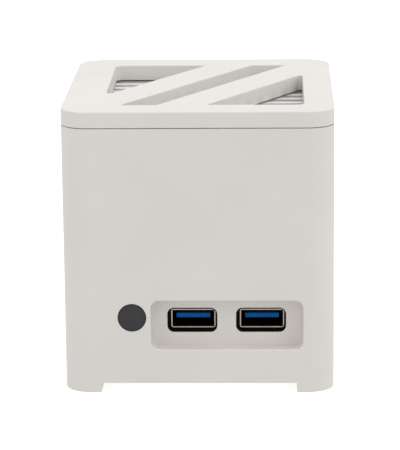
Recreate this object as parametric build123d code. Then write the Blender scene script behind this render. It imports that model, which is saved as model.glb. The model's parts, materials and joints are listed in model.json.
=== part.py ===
"""Compact network storage enclosure: printed shell, vented lid, two stacked boards.

All lengths in millimetres. X runs left to right, Y runs from the front to the
back, Z points up; the origin is on the resting plane under the middle of the case.
"""

import math
import os

from build123d import *

# ---- case ---------------------------------------------------------------
CASE_W = 80.0            # left to right
CASE_D = 88.0            # front to back
CASE_H = 84.8            # resting plane to lid top
CORNER_R = 8.0           # vertical corner radius
WALL = 2.4
LID_T = 4.8
EDGE_EASE = 0.5          # rounding of the lid's top edge
SEAM_H = 0.3             # shadow gap under the lid
SEAM_D = 1.1             # and how far in it runs
FOOT_H = 2.9
FOOT_X = 29.0            # feet begin this far from the middle, across
FOOT_Y = 32.0            # and this far from the middle, along
FLOOR_T = 3.0
FIT = 0.3                # clearance between printed parts
HOLE_FIT = 0.05          # clearance round screws and other close-fitting pieces
BOARD_FIT = 0.1          # clearance round screws in a circuit board
CUT = 1.0                # how far a cutting block runs past the face it cuts
JOIN = 0.5               # how far pieces of one solid run into each other

FRONT = -CASE_D / 2
BACK = CASE_D / 2
BODY_TOP = CASE_H - LID_T
FLOOR_TOP = FOOT_H + FLOOR_T
IN_X = CASE_W / 2 - WALL
IN_Y = CASE_D / 2 - WALL

# ---- lid window and its braces -------------------------------------------
WIN_X = (-28.0, 31.2)
WIN_Y = (-33.5, 33.1)
BRACE_W = 12.4
BRACE_L = 120.0          # more than the window's diagonal
BRACE_PITCH = 22.0       # between the centre lines of the two braces
BRACE_TURN = 60.0        # from +X towards +Y
WIN_CORNER_R = 2.2       # at the window's own corners
BRACE_CORNER_R = 0.8     # where a brace meets anything
WINDOW_EASE = 0.35       # rounding of the window's top edges
LIP_T = 1.6
LIP_H = 3.0
BUMP_R = 0.24            # friction bumps on the lip
BUMP_L = 8.0
BUMP_Y = 20.0            # bumps sit this far before and behind the middle

# ---- front face ------------------------------------------------------------
PORT_X = (-14.1, 30.8)
PORT_Z = (13.15, 28.05)
PORT_DEPTH = 5.4
PORT_R = 2.5
RECESS_EASE = 0.4        # rounding of the recess mouths
POCKET_WALL = 2.2        # behind a recess
POCKET_SIDE = 1.2        # round its sides
USB_Z = 20.88
USB_X = {"left": -1.75, "right": 18.65}
USB_HOLE = (14.85, 7.5)
USB_HOLE_Z = 20.82
USB_HOLE_DX = -0.27      # holes sit a touch left of their receptacles
USB_HOLE_R = 2.0

# ---- power button and its switch ---------------------------------------------
BUTTON_X = -19.65
BUTTON_Z = 23.0
BUTTON_R = 4.15
BUTTON_HOLE_R = 4.25
BUTTON_EASE = 0.2
BUTTON_EAR = (3.0, 11.4)   # upright bar that stops the button in its hole
BUTTON_EAR_R = 1.0
BUTTON_EAR_T = 1.1
BUTTON_STEM_R = 1.6
PLUNGER_Y = (-34.2, -31.2)
PLUNGER_R = 1.75
SWITCH_W = 7.8
SWITCH_H = 8.2
SWITCH_Y = (-32.0, -28.4)
SWITCH_WELL_Y = -30.2    # bottom of the plunger's well
BRACKET_T = 0.4          # sheet behind the switch
BRACKET_H = 8.6
BRACKET_SIDE_T = 0.5
BRACKET_SIDE_H = 5.0

# ---- rear face -------------------------------------------------------------
REAR_X = (-30.0, 30.0)
REAR_Z = (14.0, 34.0)
REAR_DEPTH = 3.0
REAR_PANEL = BACK - REAR_DEPTH
PORT_GAP = 0.25          # clearance round each rear port
PORT_CUT = 4.0           # how deep its opening is cut

# ---- boards ----------------------------------------------------------------
BOARD_X = 36.5
BOARD_Y = (-36.0, 38.5)
BOARD_R = 4.0
BOARD_T = 1.6
MOUNTS = [(x, y) for x in (-33.6, 33.6) for y in (-33.0, 35.5)]
POST = 4.0               # half width of a corner post
M25_R = 1.25
M2_R = 1.0
STUD_L = 7.0             # stud under a standoff
STANDOFF_ACROSS = 5.0
BOARD_SCREW_L = 6.0
CAP_HEAD = (2.1, 1.8)    # cap screw head: radius, height
CAP_HEX = (1.8, 1.0)     # its socket: across flats, depth

# ---- front receptacles --------------------------------------------------------
USB_SHELL = (13.1, 5.7, 14.0)
USB_SHELL_T = 0.3
USB_SHELL_R = 0.6
USB_FACE = -36.9
USB_MOUTH = 11.8         # free depth inside a receptacle
USB_SPRING_X = 3.2       # spring windows in the shell, either side of its middle
USB_SPRING_W = 1.8
USB_SPRING_Y = (3.0, 8.0)
TONGUE_W = 10.0
TONGUE_Z = (0.1, 1.45)   # tongue's underside and top, above the socket's middle
TONGUE_SET_BACK = 0.6
LONG_PINS = (4, 2.3, 1.0)      # count, pitch, width
LONG_PINS_Y = (3.0, USB_MOUTH)
LONG_PINS_T = 0.25
SHORT_PINS = (5, 2.0, 0.6)
SHORT_PINS_Y = (0.9, 2.4)
SHORT_PINS_T = 0.06
GASKET_SET_BACK = 0.1    # gasket front, behind the recess wall's face
GASKET_LIP = 0.3         # thickness of its front lip
GASKET_BACK_T = 0.6

IO_TOP = USB_Z - USB_SHELL[1] / 2
IO_BOTTOM = IO_TOP - BOARD_T
CPU_BOTTOM = 34.0
CPU_TOP = CPU_BOTTOM + BOARD_T

# ---- rear sockets --------------------------------------------------------------
LAN_X = -17.5
LAN_SIZE = (16.0, 13.5, 21.0)
LAN_T = 0.5              # wall of its can
LAN_SET_BACK = 0.3       # insert, behind the can's mouth
LAN_MOUTH = 13.0         # depth for the plug
LAN_PLUG = (11.8, 3.6, 11.0)   # plug well: width, underside and top above the board
LAN_LATCH = (6.2, 2.0)   # latch well: width, underside above the board
LAN_PINS = (8, 1.02, 0.4)
LAN_PINS_SET_BACK = 4.0
LAN_PINS_T = 0.4
VIDEO_X = 4.5
VIDEO_SIZE = (15.0, 6.0, 11.6)
VIDEO_T = 0.4
VIDEO_R = 1.2
VIDEO_MOUTH = 7.0
VIDEO_TONGUE = (11.0, 1.2)     # width, thickness
VIDEO_SET_BACK = 1.0
POWER_X = 22.0
POWER_SIZE = (9.0, 11.0, 14.0)
POWER_BORE_Z = 6.3       # plug bore above the board
POWER_BORE_R = 3.15
POWER_MOUTH = 9.5
POWER_PIN_R = 1.0
POWER_PIN_SET_BACK = 1.0
POWER_PIN_EASE = 0.4

# ---- board to board connector ----------------------------------------------------
PIN_PITCH = 2.54
PIN_ROWS = 20
HEADER_X = -31.0
HEADER_Y = (-PIN_ROWS * PIN_PITCH / 2, PIN_ROWS * PIN_PITCH / 2)
HEADER_TOP = 20.4
SOCKET_BOTTOM = 25.4
PIN_HALF = 0.32
PIN_TOP = 31.0
HEADER_HOLE = 0.35       # half width of the header's holes
SOCKET_HOLE = 0.4        # and of the socket's
SOCKET_HOLE_TOP = 31.4
PIN_GRID = [(HEADER_X + side * PIN_PITCH / 2, HEADER_Y[0] + (i + 0.5) * PIN_PITCH)
            for i in range(PIN_ROWS) for side in (-1, 1)]

# ---- parts on the lower board ------------------------------------------------------
CELL_AT = (23.0, 6.0)
CELL_R = 10.0
CELL_Z = (1.0, 4.2)      # underside and top above the board
CELL_EASE = 0.5
HOLDER_R = 10.9
HOLDER_BORE_R = 10.1
HOLDER_SLOT = (26.0, 5.0)      # finger slot across the holder
HOLDER_SLOT_Z = 2.4
CONTROLLER_AT = (-3.5, -7.5)
CONTROLLER_SIZE = (9.0, 9.0, 1.0)
COIL_SIZE = (6.2, 6.2, 3.8)
COIL_EASE = 1.0
COILS = [(4.0 + 7.6 * i, 20.5) for i in range(2)]
CAPACITOR = (3.15, 7.5)  # radius, height
CAPACITORS = [(-22.0, -8.0 + 7.6 * i) for i in range(3)]

# ---- processor and heat sink -----------------------------------------------------
SOC_SIZE = (31.0, 31.0, 1.8)
SOC_BASE_T = 0.8
SOC_MARGIN = 3.0         # round the metal cap
SOC_Y = 1.1
PAD_T = 1.0
MEMORY_SIZE = (9.0, 12.0, 1.1)
MEMORY = [(x, y) for x in (-23.5, 23.5) for y in (-6.5, 8.7)]
FIN_PITCH = 6.36
FIN_T = 3.2
FIN_COUNT = 11
FIN_FIRST_Y = -28.5      # centre of the foremost fin
SINK_X = 34.0
SINK_GAP = 0.5           # under the lid
SINK_TOP = BODY_TOP - SINK_GAP
SINK_BASE_T = 5.0
SINK_BOTTOM = CPU_TOP + SOC_SIZE[2] + PAD_T
SINK_NOTCH_X = 31.2      # corners are cut back for the board screws
SINK_NOTCH_Y = 4.9
SINK_MOUNTS = [(x, y) for x in (-24.0, 24.0) for y in (-23.0, 25.2)]
SINK_TAP = 3.8           # depth of its tapped holes
SINK_SCREW_REACH = 3.5   # how far the screws run into them
SPACER_R = 2.5

# ---- solid-state drives ------------------------------------------------------
SSD_X = {"left": -13.0, "right": 13.0}
SSD_W = 22.0
SSD_Y = (-31.5, 28.5)
SSD_T = 0.8
SSD_TOP = IO_BOTTOM - 2.4
SSD_BOTTOM = SSD_TOP - SSD_T
SSD_EDGE = (19.8, 3.0)   # edge connector: width, length
SSD_NOTCH_R = 1.75       # half-round notch for the post
SSD_CHIP_T = 1.2
SSD_CHIPS = ((14.0, -24.0, -5.5), (14.0, -4.0, 14.5), (8.0, 16.0, 23.0))   # width, start, end
SOCKET_SIZE = (21.9, 8.7, 4.2)
SOCKET_REACH = 6.2       # its back, behind the drive's end
SOCKET_SLOT_W = 20.4
SOCKET_SLOT_FIT = 0.1
DRIVE_POST_R = 2.4
DRIVE_POST_STEP_R = 1.7
DRIVE_POST_BORE_R = 0.8
DRIVE_POST_ROOF = 0.4    # left above the bore
DRIVE_POST_DEPTH = 0.2   # stem's end, below the board's top
DRIVE_HEAD = (2.5, 0.9)  # screw head: radius, height
DRIVE_CROSS = (2.6, 0.5, 0.4)
DRIVE_SHANK = (0.76, 2.4)

# ---- bottom hatch --------------------------------------------------------------
HATCH_X = 27.5
HATCH_Y = 31.0
HATCH_T = 1.8
HATCH_R = 3.0
HATCH_LEDGE = 4.0
HATCH_SLOTS = 9
HATCH_SLOT = (44.0, 2.4)
HATCH_SLOT_PITCH = 4.8
HATCH_SCREWS = [(x, y) for x in (-25.3, 25.3) for y in (-28.8, 28.8)]
HATCH_SEAT = (2.1, 1.1)  # counterbore: radius, depth
HATCH_HEAD = (1.9, 1.0)  # screw head: radius, height
HATCH_CROSS = (2.4, 0.5, 0.5)
HATCH_SHANK = 4.5
BOSS_R = 3.0
BOSS_TOP = 9.4
BOSS_ROOF = 0.6          # left above its hole


# ---- small makers ----------------------------------------------------------
def block(x0, x1, y0, y1, z0, z1):
    """Box from its two opposite corners."""
    return Pos((x0 + x1) / 2, (y0 + y1) / 2, (z0 + z1) / 2) * Box(x1 - x0, y1 - y0, z1 - z0)


def centred(xc, w, y0, y1, z0, z1):
    """Box centred on xc across the case."""
    return block(xc - w / 2, xc + w / 2, y0, y1, z0, z1)


def standing(x, y, z, w, d, h):
    """Box centred on a point of a plane and standing on it."""
    return block(x - w / 2, x + w / 2, y - d / 2, y + d / 2, z, z + h)


def slab(half_x, y0, y1, z0, z1, r):
    """Rounded plate lying flat, symmetric across the case."""
    outline = RectangleRounded(2 * half_x, y1 - y0, r)
    return Pos(0, (y0 + y1) / 2, z0) * extrude(outline, z1 - z0)


def rod_z(x, y, z0, z1, r):
    return Pos(x, y, (z0 + z1) / 2) * Cylinder(r, z1 - z0)


def rod_y(x, z, y0, y1, r):
    return Pos(x, (y0 + y1) / 2, z) * Rot(90, 0, 0) * Cylinder(r, y1 - y0)


def bar_y(xc, zc, w, h, r, y0, y1):
    """Rounded rectangle standing in XZ, extruded along Y."""
    plane = Plane(origin=(xc, y0, zc), x_dir=(1, 0, 0), z_dir=(0, 1, 0))
    return extrude(plane * RectangleRounded(w, h, r), y1 - y0)


def hexagon_z(x, y, z0, z1, across):
    return Pos(x, y, z0) * extrude(RegularPolygon(across / math.sqrt(3), 6), z1 - z0)


def cross_z(x, y, z, arm, width, depth):
    """Cross recess that cuts this far up from a level."""
    return Pos(x, y, z) * (Box(arm, width, 2 * depth) + Box(width, arm, 2 * depth))


def strips(xc, row, y_range, z_range):
    """Row of equal strips spread evenly about xc."""
    count, pitch, width = row
    first = xc - (count - 1) * pitch / 2
    return [centred(first + i * pitch, width, *y_range, *z_range) for i in range(count)]


def each(points, maker):
    """One compound holding the maker's solid at every point."""
    return Compound(children=[maker(x, y) for x, y in points])


def save(shape, node):
    export_step(shape, f"parts/{node}.step")


# ---- shell -------------------------------------------------------------------
def pocket(x_range, z_range, y0, y1, grow):
    """Rounded block over a port recess, grown by a wall."""
    xc = sum(x_range) / 2
    zc = sum(z_range) / 2
    w = x_range[1] - x_range[0] + 2 * grow
    h = z_range[1] - z_range[0] + 2 * grow
    return bar_y(xc, zc, w, h, PORT_R + grow, y0, y1)


def edges_within(shape, plane_axis, level, x_range, other_axis, other_range):
    """Edges lying in one plane, inside a window in that plane."""
    found = shape.edges().filter_by_position(plane_axis, level - HOLE_FIT, level + HOLE_FIT)
    found = found.filter_by_position(Axis.X, x_range[0] - HOLE_FIT, x_range[1] + HOLE_FIT)
    return found.filter_by_position(other_axis, other_range[0] - HOLE_FIT, other_range[1] + HOLE_FIT)


def make_body_shell():
    outer = slab(CASE_W / 2, FRONT, BACK, 0, BODY_TOP - SEAM_H, CORNER_R)
    outer += slab(CASE_W / 2 - SEAM_D, FRONT + SEAM_D, BACK - SEAM_D, 0, BODY_TOP, CORNER_R - SEAM_D)
    body = outer - slab(IN_X, -IN_Y, IN_Y, FLOOR_TOP, BODY_TOP + CUT, CORNER_R - WALL)
    body -= block(-FOOT_X, FOOT_X, FRONT - CUT, BACK + CUT, -CUT, FOOT_H)
    body -= block(-CASE_W, CASE_W, -FOOT_Y, FOOT_Y, -CUT, FOOT_H)
    # corner posts carry the lower board
    for x, y in MOUNTS:
        side = math.copysign(IN_X + WALL / 2, x)
        x0, x1 = sorted((x - math.copysign(POST, x), side))
        body += block(x0, x1, y - POST, y + POST, FLOOR_TOP - JOIN, IO_BOTTOM)
    # inward pockets behind the two port recesses
    front_inner = FRONT + PORT_DEPTH + POCKET_WALL
    body += pocket(PORT_X, PORT_Z, FRONT + WALL / 2, front_inner, POCKET_SIDE)
    body += pocket(REAR_X, REAR_Z, REAR_PANEL - POCKET_WALL, BACK - WALL / 2, POCKET_SIDE)
    body -= pocket(PORT_X, PORT_Z, FRONT - CUT, FRONT + PORT_DEPTH, 0)
    body -= pocket(REAR_X, REAR_Z, REAR_PANEL, BACK + CUT, 0)
    for x in USB_X.values():
        body -= bar_y(x + USB_HOLE_DX, USB_HOLE_Z, *USB_HOLE, USB_HOLE_R, FRONT, front_inner + CUT)
    body -= rod_y(BUTTON_X, BUTTON_Z, FRONT - CUT, FRONT + WALL + CUT, BUTTON_HOLE_R)
    for xc, (w, h, _) in ((LAN_X, LAN_SIZE), (VIDEO_X, VIDEO_SIZE), (POWER_X, POWER_SIZE)):
        low = IO_TOP - PORT_GAP
        high = IO_TOP + h + PORT_GAP
        body -= centred(xc, w + 2 * PORT_GAP, REAR_PANEL - PORT_CUT, REAR_PANEL + CUT, low, high)
    body = fillet(edges_within(body, Axis.Y, FRONT, PORT_X, Axis.Z, PORT_Z), RECESS_EASE)
    body = fillet(edges_within(body, Axis.Y, BACK, REAR_X, Axis.Z, REAR_Z), RECESS_EASE)
    # rebated hatch opening in the floor
    rebate_x = HATCH_X + FIT / 2
    rebate_y = HATCH_Y + FIT / 2
    body -= slab(rebate_x, -rebate_y, rebate_y, FOOT_H - CUT, FOOT_H + HATCH_T, HATCH_R)
    open_x = HATCH_X - HATCH_LEDGE
    open_y = HATCH_Y - HATCH_LEDGE
    body -= slab(open_x, -open_y, open_y, FOOT_H, FLOOR_TOP + CUT, HATCH_R)
    for x, y in HATCH_SCREWS:
        body += rod_z(x, y, FOOT_H + HATCH_T, BOSS_TOP, BOSS_R)
        body -= rod_z(x, y, FOOT_H, BOSS_TOP - BOSS_ROOF, M2_R + HOLE_FIT)
    for x, y in MOUNTS:
        body -= rod_z(x, y, IO_BOTTOM - STUD_L, IO_BOTTOM + CUT, M25_R + HOLE_FIT)
    return body


def on_window_corner(vertex):
    at_side = min(abs(vertex.X - x) for x in WIN_X) < HOLE_FIT
    at_end = min(abs(vertex.Y - y) for y in WIN_Y) < HOLE_FIT
    return at_side and at_end


def meets_brace(opening, vertex):
    """True where two straight edges meet, so not at the ends of a rounded corner."""
    touching = [e for e in opening.edges() if (e @ 0 - vertex.center()).length < HOLE_FIT
                or (e @ 1 - vertex.center()).length < HOLE_FIT]
    return all(e.geom_type == GeomType.LINE for e in touching)


def window_openings():
    """Lid openings: the window less two parallel braces."""
    w = WIN_X[1] - WIN_X[0]
    d = WIN_Y[1] - WIN_Y[0]
    middle = Pos(sum(WIN_X) / 2, sum(WIN_Y) / 2)
    area = middle * Rectangle(w, d)
    for side in (-1, 1):
        aside = Pos(0, side * BRACE_PITCH / 2)
        area -= middle * Rot(0, 0, BRACE_TURN) * aside * Rectangle(BRACE_L, BRACE_W)
    rounded = []
    for face in area.faces():
        opening = Sketch() + face
        square = [v for v in opening.vertices() if on_window_corner(v)]
        if square:
            opening = fillet(square, WIN_CORNER_R)
        sharp = [v for v in opening.vertices() if meets_brace(opening, v)]
        rounded.append(fillet(sharp, BRACE_CORNER_R))
    return rounded


def make_lid():
    plate = slab(CASE_W / 2, FRONT, BACK, BODY_TOP, CASE_H, CORNER_R)
    plate = fillet(plate.edges().group_by(Axis.Z)[-1], EDGE_EASE)
    lip_x = IN_X - FIT
    lip_y = IN_Y - FIT
    lip_r = CORNER_R - WALL - FIT
    low = BODY_TOP - LIP_H
    lip = slab(lip_x, -lip_y, lip_y, low, BODY_TOP, lip_r)
    lip -= slab(lip_x - LIP_T, LIP_T - lip_y, lip_y - LIP_T, low - CUT, BODY_TOP + CUT, lip_r - LIP_T)
    lid = plate + lip
    for opening in window_openings():
        lid -= Pos(0, 0, BODY_TOP - CUT) * extrude(opening, LID_T + 2 * CUT, dir=(0, 0, 1))
    lid = fillet(edges_within(lid, Axis.Z, CASE_H, WIN_X, Axis.Y, WIN_Y), WINDOW_EASE)
    for side in (-1, 1):
        for y in (-BUMP_Y, BUMP_Y):
            bump = Rot(90, 0, 0) * Cylinder(BUMP_R, BUMP_L)
            lid += Pos(side * lip_x, y, BODY_TOP - LIP_H / 2) * bump
    return lid


def make_hatch_cover():
    cover = slab(HATCH_X, -HATCH_Y, HATCH_Y, FOOT_H, FOOT_H + HATCH_T, HATCH_R - FIT / 2)
    for i in range(HATCH_SLOTS):
        x = (i - (HATCH_SLOTS - 1) / 2) * HATCH_SLOT_PITCH
        slot = extrude(SlotOverall(*HATCH_SLOT, rotation=90), HATCH_T + 2 * CUT)
        cover -= Pos(x, 0, FOOT_H - CUT) * slot
    seat_r, seat_h = HATCH_SEAT
    for x, y in HATCH_SCREWS:
        cover -= rod_z(x, y, FOOT_H - CUT, FOOT_H + HATCH_T + CUT, M2_R + 2 * HOLE_FIT)
        cover -= rod_z(x, y, FOOT_H - CUT, FOOT_H + seat_h, seat_r)
    return cover


def hatch_screw(x, y):
    head_r, head_h = HATCH_HEAD
    seat = FOOT_H + HATCH_SEAT[1]
    head = rod_z(x, y, seat - head_h, seat, head_r) - cross_z(x, y, seat - head_h, *HATCH_CROSS)
    return head + rod_z(x, y, seat, seat + HATCH_SHANK, M2_R)


# ---- power button ------------------------------------------------------------
def make_power_button():
    inner = FRONT + WALL
    ear_back = inner + BUTTON_EAR_T
    cap = rod_y(BUTTON_X, BUTTON_Z, FRONT, inner + HOLE_FIT, BUTTON_R)
    cap = chamfer(cap.edges().group_by(Axis.Y)[0], BUTTON_EASE)
    ear = bar_y(BUTTON_X, BUTTON_Z, *BUTTON_EAR, BUTTON_EAR_R, inner + HOLE_FIT, ear_back)
    stem = rod_y(BUTTON_X, BUTTON_Z, ear_back, PLUNGER_Y[0], BUTTON_STEM_R)
    return cap + ear + stem


def make_switch_plunger():
    return rod_y(BUTTON_X, BUTTON_Z, *PLUNGER_Y, PLUNGER_R)


def make_switch_body():
    body = centred(BUTTON_X, SWITCH_W, *SWITCH_Y, IO_TOP, IO_TOP + SWITCH_H)
    return body - rod_y(BUTTON_X, BUTTON_Z, SWITCH_Y[0] - CUT, SWITCH_WELL_Y, PLUNGER_R + HOLE_FIT)


def make_switch_bracket():
    """Sheet-metal frame holding the switch upright."""
    half = SWITCH_W / 2
    start, back = SWITCH_Y
    width = SWITCH_W + 2 * BRACKET_SIDE_T
    frame = centred(BUTTON_X, width, back, back + BRACKET_T, IO_TOP, IO_TOP + BRACKET_H)
    for side in (-1, 1):
        x0, x1 = sorted((BUTTON_X + side * half, BUTTON_X + side * width / 2))
        frame += block(x0, x1, start, back + BRACKET_T, IO_TOP, IO_TOP + BRACKET_SIDE_H)
    return frame


# ---- boards --------------------------------------------------------------------
def board_blank(z):
    board = slab(BOARD_X, *BOARD_Y, z, z + BOARD_T, BOARD_R)
    for x, y in MOUNTS:
        board -= rod_z(x, y, z - CUT, z + BOARD_T + CUT, M25_R + BOARD_FIT)
    return board


def make_io_board():
    board = board_blank(IO_BOTTOM)
    for x in SSD_X.values():
        board -= rod_z(x, SSD_Y[0], IO_BOTTOM - CUT, IO_TOP + CUT, M2_R + HOLE_FIT)
    return board


def make_compute_board():
    board = board_blank(CPU_BOTTOM)
    for x, y in SINK_MOUNTS:
        board -= rod_z(x, y, CPU_BOTTOM - CUT, CPU_TOP + CUT, M25_R + BOARD_FIT)
    return board


def standoff(x, y):
    post = hexagon_z(x, y, IO_TOP, CPU_BOTTOM, STANDOFF_ACROSS)
    post -= rod_z(x, y, CPU_BOTTOM - BOARD_SCREW_L, CPU_BOTTOM + CUT, M25_R + HOLE_FIT)
    return post + rod_z(x, y, IO_TOP - STUD_L, IO_TOP, M25_R)


def board_screw(x, y):
    head_r, head_h = CAP_HEAD
    across, depth = CAP_HEX
    top = CPU_TOP + head_h
    head = rod_z(x, y, CPU_TOP, top, head_r) - hexagon_z(x, y, top - depth, top + CUT, across)
    return head + rod_z(x, y, CPU_TOP - BOARD_SCREW_L, CPU_TOP, M25_R)


# ---- front receptacles -----------------------------------------------------------
def make_usb_shell(xc):
    w, h, d = USB_SHELL
    t = USB_SHELL_T
    back = USB_FACE + d
    shell = bar_y(xc, USB_Z, w, h, USB_SHELL_R, USB_FACE, back)
    shell -= bar_y(xc, USB_Z, w - 2 * t, h - 2 * t, USB_SHELL_R - t, USB_FACE - CUT, back - t)
    y0, y1 = USB_SPRING_Y
    for side in (-1, 1):
        x = xc + side * USB_SPRING_X
        shell -= centred(x, USB_SPRING_W, USB_FACE + y0, USB_FACE + y1, USB_Z + CUT, USB_Z + h)
    return shell


def make_usb_insulator(xc):
    w, h, d = USB_SHELL
    t = USB_SHELL_T
    back = USB_FACE + d - t
    rear = bar_y(xc, USB_Z, w - 2 * t, h - 2 * t, USB_SHELL_R - t, USB_FACE + USB_MOUTH, back)
    low, high = TONGUE_Z
    return rear + centred(xc, TONGUE_W, USB_FACE + TONGUE_SET_BACK, back, USB_Z + low, USB_Z + high)


def make_usb_contacts(xc):
    """Four long and five short contact strips under the tongue."""
    under = USB_Z + TONGUE_Z[0]
    long_y = [USB_FACE + y for y in LONG_PINS_Y]
    short_y = [USB_FACE + y for y in SHORT_PINS_Y]
    row = strips(xc, LONG_PINS, long_y, (under - LONG_PINS_T, under))
    row += strips(xc, SHORT_PINS, short_y, (under - SHORT_PINS_T, under))
    return Compound(children=row)


def make_usb_gasket(xc):
    """Rubber liner of a socket hole, closed round the receptacle at its back."""
    w, h = USB_HOLE
    r = USB_HOLE_R - HOLE_FIT
    xh = xc + USB_HOLE_DX
    front = FRONT + PORT_DEPTH + GASKET_SET_BACK
    back = BOARD_Y[0] - HOLE_FIT
    liner = bar_y(xh, USB_HOLE_Z, w - 2 * HOLE_FIT, h - 2 * HOLE_FIT, r, front, back)
    inside = 2 * (HOLE_FIT + GASKET_LIP)
    floor_y = back - GASKET_BACK_T
    liner -= bar_y(xh, USB_HOLE_Z, w - inside, h - inside, r - GASKET_LIP, front - CUT, floor_y)
    w, h, _ = USB_SHELL
    r = USB_SHELL_R + HOLE_FIT
    return liner - bar_y(xc, USB_Z, w + 2 * HOLE_FIT, h + 2 * HOLE_FIT, r, front - CUT, back + CUT)


# ---- rear sockets ------------------------------------------------------------------
def make_lan_jack():
    w, h, d = LAN_SIZE
    t = LAN_T
    jack = centred(LAN_X, w, REAR_PANEL - d, REAR_PANEL, IO_TOP, IO_TOP + h)
    return jack - centred(LAN_X, w - 2 * t, REAR_PANEL - d + t, REAR_PANEL + CUT, IO_TOP + t, IO_TOP + h - t)


def make_lan_insert():
    w, h, d = LAN_SIZE
    t = LAN_T
    front = REAR_PANEL - LAN_SET_BACK
    body = centred(LAN_X, w - 2 * t, REAR_PANEL - d + t, front, IO_TOP + t, IO_TOP + h - t)
    mouth = REAR_PANEL - LAN_MOUTH
    plug_w, plug_low, plug_high = LAN_PLUG
    latch_w, latch_low = LAN_LATCH
    body -= centred(LAN_X, plug_w, mouth, REAR_PANEL + CUT, IO_TOP + plug_low, IO_TOP + plug_high)
    body -= centred(LAN_X, latch_w, mouth, REAR_PANEL + CUT, IO_TOP + latch_low, IO_TOP + plug_low)
    return body


def make_lan_contacts():
    top = IO_TOP + LAN_PLUG[2]
    y_range = (REAR_PANEL - LAN_MOUTH, REAR_PANEL - LAN_PINS_SET_BACK)
    return Compound(children=strips(LAN_X, LAN_PINS, y_range, (top - LAN_PINS_T, top)))


def make_video_port():
    w, h, d = VIDEO_SIZE
    t = VIDEO_T
    zc = IO_TOP + h / 2
    port = bar_y(VIDEO_X, zc, w, h, VIDEO_R, REAR_PANEL - d, REAR_PANEL)
    return port - bar_y(VIDEO_X, zc, w - 2 * t, h - 2 * t, VIDEO_R - t, REAR_PANEL - d + t, REAR_PANEL + CUT)


def make_video_insert():
    w, h, d = VIDEO_SIZE
    t = VIDEO_T
    zc = IO_TOP + h / 2
    mouth = REAR_PANEL - VIDEO_MOUTH
    tongue_w, tongue_t = VIDEO_TONGUE
    base = bar_y(VIDEO_X, zc, w - 2 * t, h - 2 * t, VIDEO_R - t, REAR_PANEL - d + t, mouth)
    tongue_end = REAR_PANEL - VIDEO_SET_BACK
    return base + centred(VIDEO_X, tongue_w, mouth, tongue_end, zc - tongue_t / 2, zc + tongue_t / 2)


def make_power_jack():
    w, h, d = POWER_SIZE
    jack = centred(POWER_X, w, REAR_PANEL - d, REAR_PANEL, IO_TOP, IO_TOP + h)
    bore_z = IO_TOP + POWER_BORE_Z
    return jack - rod_y(POWER_X, bore_z, REAR_PANEL - POWER_MOUTH, REAR_PANEL + CUT, POWER_BORE_R)


def make_power_jack_pin():
    end = REAR_PANEL - POWER_PIN_SET_BACK
    pin = rod_y(POWER_X, IO_TOP + POWER_BORE_Z, REAR_PANEL - POWER_MOUTH, end, POWER_PIN_R)
    return chamfer(pin.edges().group_by(Axis.Y)[-1], POWER_PIN_EASE)


# ---- parts on the boards ---------------------------------------------------------------
def post_z(x, y, half, z0, z1):
    """Square post."""
    return block(x - half, x + half, y - half, y + half, z0, z1)


def make_stack_header():
    body = block(HEADER_X - PIN_PITCH, HEADER_X + PIN_PITCH, *HEADER_Y, IO_TOP, HEADER_TOP)
    for x, y in PIN_GRID:
        body -= post_z(x, y, HEADER_HOLE, IO_TOP - CUT, HEADER_TOP + CUT)
    return body


def make_stack_pins():
    return each(PIN_GRID, lambda x, y: post_z(x, y, PIN_HALF, IO_TOP, PIN_TOP))


def make_stack_socket():
    body = block(HEADER_X - PIN_PITCH, HEADER_X + PIN_PITCH, *HEADER_Y, SOCKET_BOTTOM, CPU_BOTTOM)
    for x, y in PIN_GRID:
        body -= post_z(x, y, SOCKET_HOLE, SOCKET_BOTTOM - CUT, SOCKET_HOLE_TOP)
    return body


def make_battery_holder():
    low, high = CELL_Z
    holder = rod_z(*CELL_AT, IO_TOP, IO_TOP + high, HOLDER_R)
    holder -= rod_z(*CELL_AT, IO_TOP + low, IO_TOP + high + CUT, HOLDER_BORE_R)
    return holder - standing(*CELL_AT, IO_TOP + HOLDER_SLOT_Z, *HOLDER_SLOT, high)


def make_coin_cell():
    low, high = CELL_Z
    cell = rod_z(*CELL_AT, IO_TOP + low, IO_TOP + high, CELL_R)
    return fillet(cell.edges().group_by(Axis.Z)[-1], CELL_EASE)


def make_usb_controller():
    return standing(*CONTROLLER_AT, IO_TOP, *CONTROLLER_SIZE)


def coil(x, y):
    body = standing(x, y, IO_TOP, *COIL_SIZE)
    return chamfer(body.edges().filter_by(Axis.Z), COIL_EASE)


def capacitor(x, y):
    radius, height = CAPACITOR
    return rod_z(x, y, IO_TOP, IO_TOP + height, radius)


def make_soc():
    w, d, t = SOC_SIZE
    base = standing(0, SOC_Y, CPU_TOP, w, d, SOC_BASE_T)
    cap_w = w - 2 * SOC_MARGIN
    cap_d = d - 2 * SOC_MARGIN
    return base + standing(0, SOC_Y, CPU_TOP + SOC_BASE_T, cap_w, cap_d, t - SOC_BASE_T)


def make_thermal_pad():
    side = SOC_SIZE[0] - 2 * SOC_MARGIN
    return standing(0, SOC_Y, CPU_TOP + SOC_SIZE[2], side, side, PAD_T)


def memory_chip(x, y):
    return standing(x, y, CPU_TOP, *MEMORY_SIZE)


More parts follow.
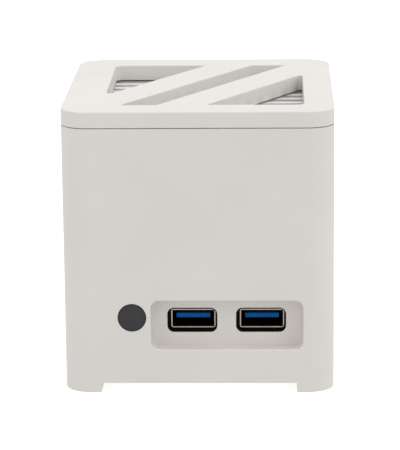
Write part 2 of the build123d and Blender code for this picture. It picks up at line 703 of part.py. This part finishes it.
def make_heat_sink():
    first = FIN_FIRST_Y - FIN_T / 2
    last = FIN_FIRST_Y + (FIN_COUNT - 1) * FIN_PITCH + FIN_T / 2
    base_top = SINK_BOTTOM + SINK_BASE_T
    sink = block(-SINK_X, SINK_X, first, last, SINK_BOTTOM, base_top)
    for i in range(FIN_COUNT):
        y = FIN_FIRST_Y + i * FIN_PITCH
        sink += block(-SINK_X, SINK_X, y - FIN_T / 2, y + FIN_T / 2, base_top - JOIN, SINK_TOP)
    for side in (-1, 1):
        x0, x1 = sorted((side * SINK_NOTCH_X, side * (SINK_X + CUT)))
        for y0, y1 in ((first - CUT, first + SINK_NOTCH_Y), (last - SINK_NOTCH_Y, last + CUT)):
            sink -= block(x0, x1, y0, y1, SINK_BOTTOM - CUT, SINK_TOP + CUT)
    for x, y in SINK_MOUNTS:
        sink -= rod_z(x, y, SINK_BOTTOM - CUT, SINK_BOTTOM + SINK_TAP, M25_R + HOLE_FIT)
    return sink


def sink_spacer(x, y):
    tube = rod_z(x, y, CPU_TOP, SINK_BOTTOM, SPACER_R)
    return tube - rod_z(x, y, CPU_TOP - CUT, SINK_BOTTOM + CUT, M25_R + BOARD_FIT)


def sink_screw(x, y):
    head_r, head_h = CAP_HEAD
    across, depth = CAP_HEX
    low = CPU_BOTTOM - head_h
    head = rod_z(x, y, low, CPU_BOTTOM, head_r) - hexagon_z(x, y, low - CUT, low + depth, across)
    return head + rod_z(x, y, CPU_BOTTOM, SINK_BOTTOM + SINK_SCREW_REACH, M25_R)


# ---- drives under the lower board -----------------------------------------------------
def make_drive_socket(xc):
    w, d, h = SOCKET_SIZE
    back = SSD_Y[1] + SOCKET_REACH
    body = centred(xc, w, back - d, back, IO_BOTTOM - h, IO_BOTTOM)
    low = SSD_BOTTOM - SOCKET_SLOT_FIT
    high = SSD_TOP + SOCKET_SLOT_FIT
    return body - centred(xc, SOCKET_SLOT_W, back - d - CUT, SSD_Y[1] + 2 * SOCKET_SLOT_FIT, low, high)


def make_drive_board(xc):
    edge_w, edge_l = SSD_EDGE
    start, end = SSD_Y
    board = centred(xc, SSD_W, start, end - edge_l, SSD_BOTTOM, SSD_TOP)
    board += centred(xc, edge_w, end - edge_l, end, SSD_BOTTOM, SSD_TOP)
    return board - rod_z(xc, start, SSD_BOTTOM - CUT, SSD_TOP + CUT, SSD_NOTCH_R)


def make_drive_chips(xc):
    low = SSD_BOTTOM - SSD_CHIP_T
    return Compound(children=[centred(xc, w, start, end, low, SSD_BOTTOM) for w, start, end in SSD_CHIPS])


def make_drive_post(xc):
    y = SSD_Y[0]
    post = rod_z(xc, y, SSD_TOP, IO_BOTTOM, DRIVE_POST_R)
    post += rod_z(xc, y, SSD_BOTTOM, SSD_TOP, DRIVE_POST_STEP_R)
    post += rod_z(xc, y, IO_BOTTOM, IO_TOP - DRIVE_POST_DEPTH, M2_R)
    return post - rod_z(xc, y, SSD_BOTTOM - CUT, IO_BOTTOM - DRIVE_POST_ROOF, DRIVE_POST_BORE_R)


def make_drive_screw(xc):
    y = SSD_Y[0]
    head_r, head_h = DRIVE_HEAD
    shank_r, shank_l = DRIVE_SHANK
    low = SSD_BOTTOM - head_h
    head = rod_z(xc, y, low, SSD_BOTTOM, head_r) - cross_z(xc, y, low, *DRIVE_CROSS)
    return head + rod_z(xc, y, SSD_BOTTOM, SSD_BOTTOM + shank_l, shank_r)


# ---- write every node --------------------------------------------------------------
os.makedirs("parts", exist_ok=True)

save(make_body_shell(), "body_shell")
save(make_lid(), "lid")
save(make_hatch_cover(), "hatch_cover")
save(each(HATCH_SCREWS, hatch_screw), "hatch_screws")
save(make_power_button(), "power_button")
save(make_switch_plunger(), "switch_plunger")
save(make_switch_body(), "switch_body")
save(make_switch_bracket(), "switch_bracket")
save(make_io_board(), "io_board")
save(make_compute_board(), "compute_board")
save(each(MOUNTS, standoff), "standoffs")
save(each(MOUNTS, board_screw), "board_screws")
for side_name, usb_x in USB_X.items():
    save(make_usb_shell(usb_x), f"usb_shell_{side_name}")
    save(make_usb_insulator(usb_x), f"usb_insulator_{side_name}")
    save(make_usb_contacts(usb_x), f"usb_contacts_{side_name}")
    save(make_usb_gasket(usb_x), f"usb_gasket_{side_name}")
save(make_lan_jack(), "lan_jack")
save(make_lan_insert(), "lan_insert")
save(make_lan_contacts(), "lan_contacts")
save(make_video_port(), "video_port")
save(make_video_insert(), "video_insert")
save(make_power_jack(), "power_jack")
save(make_power_jack_pin(), "power_jack_pin")
save(make_stack_header(), "stack_header")
save(make_stack_pins(), "stack_pins")
save(make_stack_socket(), "stack_socket")
save(make_battery_holder(), "battery_holder")
save(make_coin_cell(), "coin_cell")
save(make_usb_controller(), "usb_controller")
save(each(COILS, coil), "inductors")
save(each(CAPACITORS, capacitor), "capacitors")
save(make_soc(), "soc_package")
save(make_thermal_pad(), "thermal_pad")
save(each(MEMORY, memory_chip), "memory_chips")
save(make_heat_sink(), "heat_sink")
save(each(SINK_MOUNTS, sink_spacer), "sink_spacers")
save(each(SINK_MOUNTS, sink_screw), "sink_screws")
for side_name, drive_x in SSD_X.items():
    save(make_drive_socket(drive_x), f"drive_socket_{side_name}")
    save(make_drive_board(drive_x), f"drive_board_{side_name}")
    save(make_drive_chips(drive_x), f"drive_chips_{side_name}")
    save(make_drive_post(drive_x), f"drive_post_{side_name}")
    save(make_drive_screw(drive_x), f"drive_screw_{side_name}")
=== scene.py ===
"""Looks of the compact network storage enclosure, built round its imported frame. Lengths in metres."""

import json
import math

import bpy
from mathutils import Matrix, Vector


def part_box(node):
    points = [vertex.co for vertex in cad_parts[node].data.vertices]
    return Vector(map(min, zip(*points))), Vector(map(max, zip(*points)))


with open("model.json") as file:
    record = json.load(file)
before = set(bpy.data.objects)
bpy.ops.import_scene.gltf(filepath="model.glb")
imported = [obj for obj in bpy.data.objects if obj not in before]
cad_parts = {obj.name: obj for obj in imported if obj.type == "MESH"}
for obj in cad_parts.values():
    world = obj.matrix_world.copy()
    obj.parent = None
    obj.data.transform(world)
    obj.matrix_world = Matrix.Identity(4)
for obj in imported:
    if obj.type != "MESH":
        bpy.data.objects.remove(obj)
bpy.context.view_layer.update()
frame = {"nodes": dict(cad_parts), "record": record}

MM = 0.001
CASE_LOW, CASE_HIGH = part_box("body_shell")
CASE_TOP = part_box("lid")[1].z
SOCKET_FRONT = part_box("usb_insulator_left")[0].y + 2 * MM    # painted shade on the tongues begins here
SOCKET_DARK = SOCKET_FRONT + 4 * MM                          # and is full, nearly black, from here on
FACING = (0.6, 0.9)    # size of the normal's Y where a face starts to count as front, and fully does; the other faces of the socket sheet get painted shade
CENTRE = Vector(((CASE_LOW.x + CASE_HIGH.x) / 2, (CASE_LOW.y + CASE_HIGH.y) / 2, CASE_LOW.z))


# ---- node helpers ----------------------------------------------------------
class Surface:
    """A Principled material: plain values first, then procedural layers that vary them."""

    def __init__(self, name, colour, rough, metal=0.0, specular=0.5):
        self.mat = bpy.data.materials.new(name)
        self.mat.use_nodes = True
        self.tree = self.mat.node_tree
        self.shader = self.tree.nodes["Principled BSDF"]
        self.shader.inputs["Base Color"].default_value = (*colour, 1)
        self.shader.inputs["Roughness"].default_value = rough
        self.shader.inputs["Metallic"].default_value = metal
        self.shader.inputs["Specular IOR Level"].default_value = specular
        self.mat.diffuse_color = (*colour, 1)
        self.coords = self.tree.nodes.new("ShaderNodeTexCoord")
        self.normal = None

    def node(self, kind, **values):
        made = self.tree.nodes.new(kind)
        for key, value in values.items():
            if key in made.inputs:
                made.inputs[key].default_value = value
            else:
                setattr(made, key, value)
        return made

    def link(self, source, target):
        self.tree.links.new(source, target)

    def stretched(self, scale):
        """Object coordinates scaled per axis."""
        mapping = self.node("ShaderNodeMapping")
        mapping.inputs["Scale"].default_value = scale
        self.link(self.coords.outputs["Object"], mapping.inputs["Vector"])
        return mapping.outputs["Vector"]

    def noise(self, size, detail=3.0, stretch=(1, 1, 1)):
        """Noise whose grains are about size metres across."""
        made = self.node("ShaderNodeTexNoise", Scale=1 / size, Detail=detail)
        self.link(self.stretched(stretch), made.inputs["Vector"])
        return made.outputs["Fac"]

    def ramp(self, value, stops):
        """Colour ramp through (place, colour) stops."""
        made = self.node("ShaderNodeValToRGB")
        elements = made.color_ramp.elements
        while len(elements) < len(stops):
            elements.new(0.5)
        for element, (place, colour) in zip(elements, stops):
            element.position = place
            element.color = (*colour, 1)
        self.link(value, made.inputs["Fac"])
        return made.outputs["Color"]

    def span(self, value, low, high):
        """Maps a 0 to 1 value onto low to high."""
        made = self.node("ShaderNodeMapRange")
        made.inputs["To Min"].default_value = low
        made.inputs["To Max"].default_value = high
        self.link(value, made.inputs["Value"])
        return made.outputs["Result"]

    def mixed(self, factor, first, second):
        """First colour where the factor is 0, second where it is 1."""
        made = self.tree.nodes.new("ShaderNodeMix")
        made.data_type = "RGBA"
        self.link(factor, made.inputs["Factor"])
        self.link(first, made.inputs["A"])
        self.link(second, made.inputs["B"])
        return made.outputs["Result"]

    def facing_front(self):
        """1 on faces that look along the object's Y, either way, falling to 0 on all others; the mask
        for the socket sheet's painted shade.
        """
        split = self.node("ShaderNodeSeparateXYZ")
        self.link(self.coords.outputs["Normal"], split.inputs["Vector"])
        size = self.node("ShaderNodeMath", operation="ABSOLUTE")
        self.link(split.outputs["Y"], size.inputs[0])
        return self.stepped(size.outputs["Value"], *FACING)

    def depth(self, start, end):
        """0 in front of the start, 1 behind the end, along the object's Y."""
        split = self.node("ShaderNodeSeparateXYZ")
        self.link(self.coords.outputs["Object"], split.inputs["Vector"])
        return self.stepped(split.outputs["Y"], start, end)

    def stepped(self, value, low, high):
        """Maps low to high onto 0 to 1."""
        made = self.node("ShaderNodeMapRange")
        made.inputs["From Min"].default_value = low
        made.inputs["From Max"].default_value = high
        self.link(value, made.inputs["Value"])
        return made.outputs["Result"]

    def colour_from(self, output):
        self.link(output, self.shader.inputs["Base Color"])

    def shades(self, value, base, low, high, spread=0.2):
        """The base colour times low to times high, as the value goes through its middle."""
        return self.ramp(value, [(0.5 - spread, shade(base, low)), (0.5 + spread, shade(base, high))])

    def tinted(self, value, base, low, high, spread=0.2):
        self.colour_from(self.shades(value, base, low, high, spread))

    def rough_from(self, value, low, high):
        self.link(self.span(value, low, high), self.shader.inputs["Roughness"])

    def bump(self, value, strength, depth):
        """Adds one bump layer on top of those already there."""
        made = self.node("ShaderNodeBump", Strength=strength, Distance=depth)
        self.link(value, made.inputs["Height"])
        if self.normal is not None:
            self.link(self.normal, made.inputs["Normal"])
        self.normal = made.outputs["Normal"]
        self.link(self.normal, self.shader.inputs["Normal"])


def shade(colour, factor):
    return tuple(min(1.0, part * factor) for part in colour)


# ---- materials -----------------------------------------------------------------
def moulded_white():
    """Warm white powdery plastic: fine grain, a faint cloudiness, faint level lines."""
    base = (0.808, 0.778, 0.736)
    made = Surface("moulded_white", base, 0.62, specular=0.35)
    cloud = made.noise(22 * MM, detail=4.0)
    grain = made.noise(0.35 * MM, detail=2.0)
    levels = made.noise(1.1 * MM, detail=2.0, stretch=(0.02, 0.02, 1.0))
    made.tinted(cloud, base, low=0.975, high=1.012)
    made.rough_from(grain, low=0.55, high=0.72)
    made.bump(levels, strength=0.12, depth=0.06 * MM)
    made.bump(grain, strength=0.18, depth=0.05 * MM)
    return made


def button_grey():
    base = (0.015, 0.014, 0.017)
    made = Surface("button_grey", base, 0.5, specular=0.4)
    cloud = made.noise(3 * MM, detail=3.0)
    grain = made.noise(0.2 * MM, detail=2.0)
    made.tinted(cloud, base, low=0.85, high=1.2)
    made.rough_from(grain, low=0.38, high=0.55)
    made.bump(grain, strength=0.2, depth=0.03 * MM)
    return made


def plated_steel():
    base = (0.58, 0.57, 0.55)
    made = Surface("plated_steel", base, 0.3, metal=1.0)
    streak = made.noise(0.4 * MM, detail=3.0, stretch=(1, 0.15, 1))
    made.tinted(streak, base, low=0.8, high=1.1)
    made.rough_from(streak, low=0.22, high=0.42)
    made.bump(streak, strength=0.1, depth=0.02 * MM)
    return made


def nickel_sheet():
    """Warm nickel-plated sheet of the sockets: bright where it faces Y, nearly black painted shade
    elsewhere.
    """
    base = (0.34, 0.30, 0.235)
    made = Surface("nickel_sheet", base, 0.28, metal=1.0)
    patch = made.noise(4 * MM, detail=3.0)
    edge = made.facing_front()
    bright = made.shades(patch, base, low=0.86, high=1.06)
    # painted shade: every face not looking along Y gets the nickel at a few percent, standing in for
    # the shade inside the sockets
    painted_shade = made.shades(patch, base, low=0.03, high=0.06)
    made.colour_from(made.mixed(edge, painted_shade, bright))
    made.rough_from(edge, low=0.6, high=0.3)
    made.bump(made.noise(0.5 * MM, detail=3.0, stretch=(0.2, 1, 1)), strength=0.12, depth=0.02 * MM)
    return made


def blue_plastic():
    """Blue tongue of the sockets; painted shade turns its colour black a little way in."""
    base = (0.001, 0.1, 0.35)
    made = Surface("blue_plastic", base, 0.4, specular=0.1)
    cloud = made.noise(1.5 * MM, detail=3.0)
    lit = made.shades(cloud, base, low=0.85, high=1.2)
    # painted shade: the tongue fades from its lit blue to near black between SOCKET_FRONT and
    # SOCKET_DARK, standing in for shade deep in the socket
    painted_socket_shade = made.ramp(cloud, [(0.3, (0.002, 0.002, 0.003)), (0.7, (0.004, 0.004, 0.006))])
    made.colour_from(made.mixed(made.depth(SOCKET_FRONT, SOCKET_DARK), lit, painted_socket_shade))
    made.rough_from(cloud, low=0.35, high=0.5)
    made.bump(made.noise(0.2 * MM, detail=2.0), strength=0.12, depth=0.02 * MM)
    return made


def black_plastic():
    base = (0.012, 0.012, 0.014)
    made = Surface("black_plastic", base, 0.42)
    cloud = made.noise(2 * MM, detail=3.0)
    grain = made.noise(0.18 * MM, detail=2.0)
    made.tinted(cloud, base, low=0.8, high=1.5)
    made.rough_from(grain, low=0.35, high=0.55)
    made.bump(grain, strength=0.2, depth=0.03 * MM)
    return made


def black_rubber():
    base = (0.003, 0.003, 0.003)
    made = Surface("black_rubber", base, 0.75, specular=0.12)
    grain = made.noise(0.15 * MM, detail=2.0)
    made.tinted(grain, base, low=0.7, high=1.4)
    made.rough_from(grain, low=0.68, high=0.85)
    made.bump(grain, strength=0.3, depth=0.04 * MM)
    return made


def gold_contact():
    base = (0.86, 0.62, 0.26)
    made = Surface("gold_contact", base, 0.22, metal=1.0)
    patch = made.noise(1.2 * MM, detail=3.0)
    made.tinted(patch, base, low=0.85, high=1.08)
    made.rough_from(patch, low=0.16, high=0.32)
    return made


def turned_brass():
    base = (0.68, 0.52, 0.27)
    made = Surface("turned_brass", base, 0.3, metal=1.0)
    rings = made.noise(0.3 * MM, detail=2.0, stretch=(0.1, 0.1, 1))
    made.tinted(rings, base, low=0.85, high=1.08)
    made.rough_from(rings, low=0.22, high=0.42)
    made.bump(rings, strength=0.15, depth=0.02 * MM)
    return made


def extruded_aluminium():
    """Satin extruded aluminium with die lines along the fins."""
    base = (0.87, 0.87, 0.865)
    made = Surface("extruded_aluminium", base, 0.45, metal=0.35)
    lines = made.noise(0.35 * MM, detail=3.0, stretch=(0.012, 1, 1))
    patch = made.noise(8 * MM, detail=3.0)
    made.tinted(patch, base, low=0.95, high=1.03)
    made.rough_from(lines, low=0.38, high=0.52)
    made.bump(lines, strength=0.12, depth=0.03 * MM)
    return made


def solder_mask():
    """Green board with a pattern of lighter tracks under a glassy coat."""
    base = (0.008, 0.075, 0.035)
    made = Surface("solder_mask", base, 0.3)
    tracks = made.node("ShaderNodeTexBrick", Scale=1.0)
    tracks.inputs["Color1"].default_value = (*shade(base, 0.8), 1)
    tracks.inputs["Color2"].default_value = (*base, 1)
    tracks.inputs["Mortar"].default_value = (*shade(base, 2.6), 1)
    tracks.inputs["Brick Width"].default_value = 6.2 * MM
    tracks.inputs["Row Height"].default_value = 1.3 * MM
    tracks.inputs["Mortar Size"].default_value = 0.16 * MM
    made.link(made.coords.outputs["Object"], tracks.inputs["Vector"])
    made.colour_from(tracks.outputs["Color"])
    cloud = made.noise(4 * MM, detail=3.0)
    made.rough_from(cloud, low=0.22, high=0.4)
    made.bump(tracks.outputs["Fac"], strength=0.25, depth=0.03 * MM)
    made.shader.inputs["Coat Weight"].default_value = 0.4
    made.shader.inputs["Coat Roughness"].default_value = 0.15
    return made


def chip_black():
    base = (0.018, 0.018, 0.02)
    made = Surface("chip_black", base, 0.5)
    grain = made.noise(0.12 * MM, detail=3.0)
    made.tinted(grain, base, low=0.75, high=1.6, spread=0.15)
    made.rough_from(grain, low=0.42, high=0.65)
    made.bump(grain, strength=0.25, depth=0.03 * MM)
    return made


def chip_metal():
    base = (0.62, 0.62, 0.62)
    made = Surface("chip_metal", base, 0.35, metal=1.0)
    lines = made.noise(0.3 * MM, detail=3.0, stretch=(0.05, 1, 1))
    made.tinted(lines, base, low=0.9, high=1.06)
    made.rough_from(lines, low=0.28, high=0.45)
    return made


def soft_pad():
    base = (0.32, 0.47, 0.58)
    made = Surface("soft_pad", base, 0.8)
    grain = made.noise(0.3 * MM, detail=3.0)
    made.tinted(grain, base, low=0.85, high=1.1)
    made.rough_from(grain, low=0.7, high=0.9)
    made.bump(grain, strength=0.3, depth=0.05 * MM)
    return made


def cell_steel():
    base = (0.66, 0.66, 0.66)
    made = Surface("cell_steel", base, 0.3, metal=1.0)
    grain = made.noise(0.6 * MM, detail=3.0)
    made.tinted(grain, base, low=0.92, high=1.05)
    made.rough_from(grain, low=0.24, high=0.4)
    return made


def ferrite():
    base = (0.06, 0.06, 0.065)
    made = Surface("ferrite", base, 0.7)
    grain = made.noise(0.25 * MM, detail=3.0)
    made.tinted(grain, base, low=0.7, high=1.4)
    made.rough_from(grain, low=0.6, high=0.85)
    made.bump(grain, strength=0.35, depth=0.05 * MM)
    return made


def capacitor_can():
    base = (0.64, 0.65, 0.67)
    made = Surface("capacitor_can", base, 0.32, metal=1.0)
    lines = made.noise(0.4 * MM, detail=3.0, stretch=(1, 1, 0.1))
    made.tinted(lines, base, low=0.9, high=1.05)
    made.rough_from(lines, low=0.25, high=0.42)
    return made


MAKERS = {
    "printed_white": moulded_white,
    "button_grey": button_grey,
    "steel": plated_steel,
    "nickel": nickel_sheet,
    "blue_plastic": blue_plastic,
    "black_plastic": black_plastic,
    "black_rubber": black_rubber,
    "gold_contact": gold_contact,
    "board_green": solder_mask,
    "heat_sink": extruded_aluminium,
    "brass": turned_brass,
    "chip_black": chip_black,
    "chip_metal": chip_metal,
    "pad_blue": soft_pad,
    "cell_steel": cell_steel,
    "ferrite": ferrite,
    "capacitor": capacitor_can,
}


def dress_cad_nodes():
    """Gives every CAD node the material of its slot; nodes of one slot share it."""
    finished = {}
    for row in frame["record"]["subparts"]:
        slot = row["material_slot"]
        if slot not in finished:
            finished[slot] = MAKERS[slot]().mat
        mesh = frame["nodes"][row["node"]].data
        mesh.materials.clear()
        mesh.materials.append(finished[slot])


# ---- studio ----------------------------------------------------------------------
# place from the middle of the footprint, three turns, sensor and lens in mm, near and far clip
CAM_PLACE = Vector((0.02201, -0.72090, 0.21789))
CAM_YAW = math.radians(-1.8033)
CAM_PITCH = math.radians(13.8324)
CAM_ROLL = math.radians(-0.5551)
CAM_SENSOR = 36.0
CAM_LENS = 191.36
CAM_CLIP = (0.01, 20.0)
WHITE = (1, 1, 1, 1)
FLOOR_SIZE = 6.0
FLOOR_COLOUR = (0.92, 0.92, 0.92)
FLOOR_GLOW = 0.5
WORLD_LEVEL = 0.71
# place, width and height, radiant power in watts; each one faces the case
SOFTBOXES = {
    "overhead": ((0.0, 0.0, 1.5), (1.6, 1.6), 7.4),
    "left_panel": ((-1.6, -0.5, 0.5), (1.4, 1.4), 2.6),
    "right_panel": ((1.2, -0.6, 1.1), (1.2, 1.2), 4.8),
}


def make_camera():
    """Camera turned by yaw and pitch about the case's axes, then rolled about its own view."""
    data = bpy.data.cameras.new("camera")
    data.sensor_width = CAM_SENSOR
    data.lens = CAM_LENS
    data.clip_start, data.clip_end = CAM_CLIP
    camera = bpy.data.objects.new("camera", data)
    bpy.context.scene.collection.objects.link(camera)
    level = math.cos(CAM_PITCH)
    forward = Vector((math.sin(CAM_YAW) * level, math.cos(CAM_YAW) * level, -math.sin(CAM_PITCH)))
    right = Vector((math.cos(CAM_YAW), -math.sin(CAM_YAW), 0))
    up = right.cross(forward)
    rolled_right = right * math.cos(CAM_ROLL) + up * math.sin(CAM_ROLL)
    rolled_up = up * math.cos(CAM_ROLL) - right * math.sin(CAM_ROLL)
    turn = Matrix((rolled_right, rolled_up, -forward)).transposed()
    camera.matrix_world = Matrix.Translation(CENTRE + CAM_PLACE) @ turn.to_4x4()
    bpy.context.scene.camera = camera


def make_floor():
    """Pale table that glows a little and sends no diffuse light back, so its shadows stay soft."""
    surface = Surface("studio_floor", FLOOR_COLOUR, 0.85, specular=0.2)
    surface.rough_from(surface.noise(20 * MM, detail=2.0), low=0.8, high=0.9)
    surface.shader.inputs["Emission Color"].default_value = WHITE
    surface.shader.inputs["Emission Strength"].default_value = FLOOR_GLOW
    mesh = bpy.data.meshes.new("studio_floor")
    half = FLOOR_SIZE / 2
    signs = ((-1, -1), (1, -1), (1, 1), (-1, 1))
    corners = [(CENTRE.x + sx * half, CENTRE.y + sy * half, CASE_LOW.z) for sx, sy in signs]
    mesh.from_pydata(corners, [], [(0, 1, 2, 3)])
    mesh.materials.append(surface.mat)
    floor = bpy.data.objects.new("studio_floor", mesh)
    bpy.context.scene.collection.objects.link(floor)
    floor.visible_diffuse = False


def softbox(name, place, size, power):
    """Rectangular area light, aimed at the middle of the closed case."""
    data = bpy.data.lights.new(name, "AREA")
    data.shape = "RECTANGLE"
    data.size, data.size_y = size
    data.energy = power
    light = bpy.data.objects.new(name, data)
    bpy.context.scene.collection.objects.link(light)
    light.location = CENTRE + Vector(place)
    aim = Vector((0, 0, (CASE_TOP - CASE_LOW.z) / 2)) - Vector(place)
    light.rotation_euler = aim.to_track_quat("-Z", "Y").to_euler()


def make_lights():
    world = bpy.data.worlds.new("studio")
    world.use_nodes = True
    background = world.node_tree.nodes["Background"]
    background.inputs["Color"].default_value = WHITE
    background.inputs["Strength"].default_value = WORLD_LEVEL
    bpy.context.scene.world = world
    for name, (place, size, power) in SOFTBOXES.items():
        softbox(name, place, size, power)
    bpy.context.scene.view_settings.view_transform = "Standard"


make_camera()
make_floor()
make_lights()
dress_cad_nodes()
